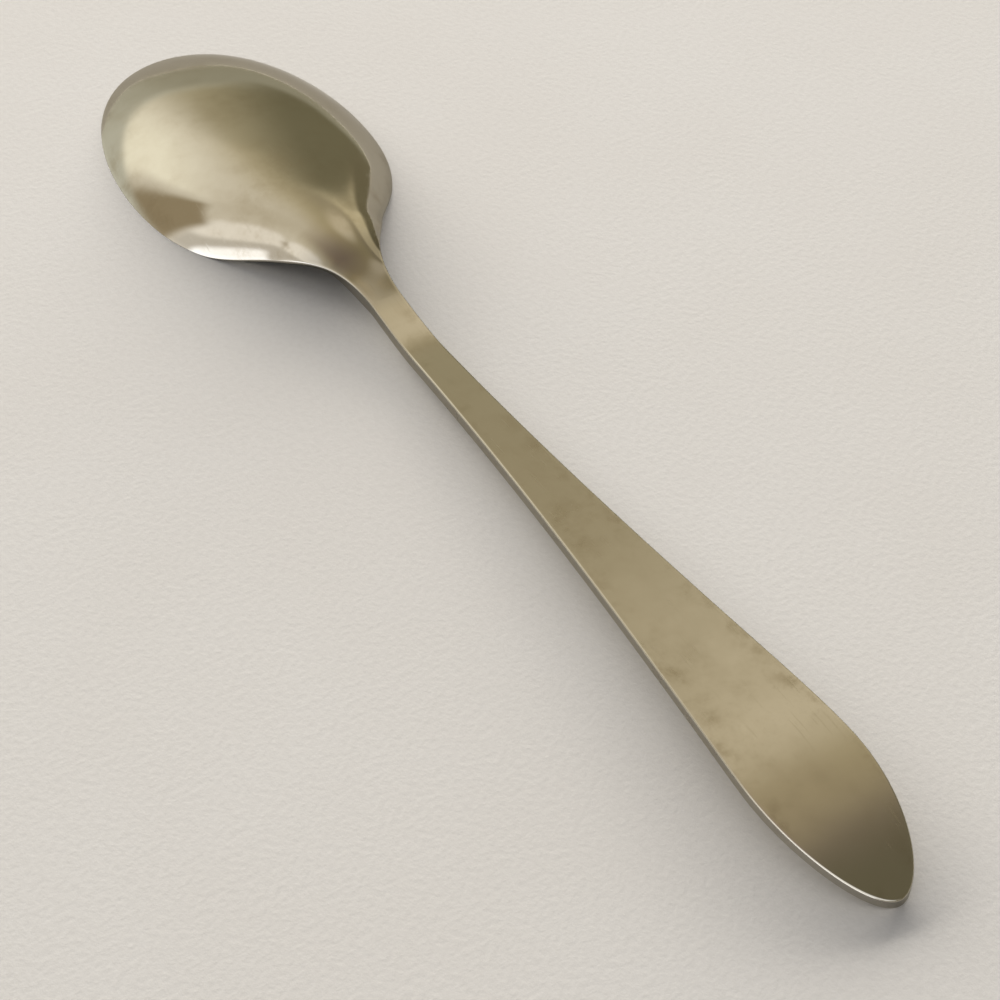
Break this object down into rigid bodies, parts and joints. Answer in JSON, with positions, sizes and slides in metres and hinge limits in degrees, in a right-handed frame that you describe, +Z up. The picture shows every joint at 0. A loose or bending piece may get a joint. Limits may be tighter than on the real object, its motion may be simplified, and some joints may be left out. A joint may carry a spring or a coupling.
{
  "type": "child spoon",
  "caption": "Child's spoon in pressed white metal: an egg-shaped bowl for food, a slim neck and a flat handle that widens to a pointed-oval end bent at its tip.",
  "frame": {"origin": "on the table, under the middle of the spoon's box", "axes": "+X along the spoon from the bowl's tip to the handle's tip, +Z up, out of the spoon's back; the spoon lies face down and Y = 0 is its mirror plane"},
  "size_m": [0.145, 0.0298, 0.0058],
  "materials": {
    "metal": "worn polish, warm grey, fine scratches and slight tarnish"
  },
  "bodies": {
    "root": {"bowl": "metal", "neck": "metal", "handle": "metal"}
  },
  "joints": []
}
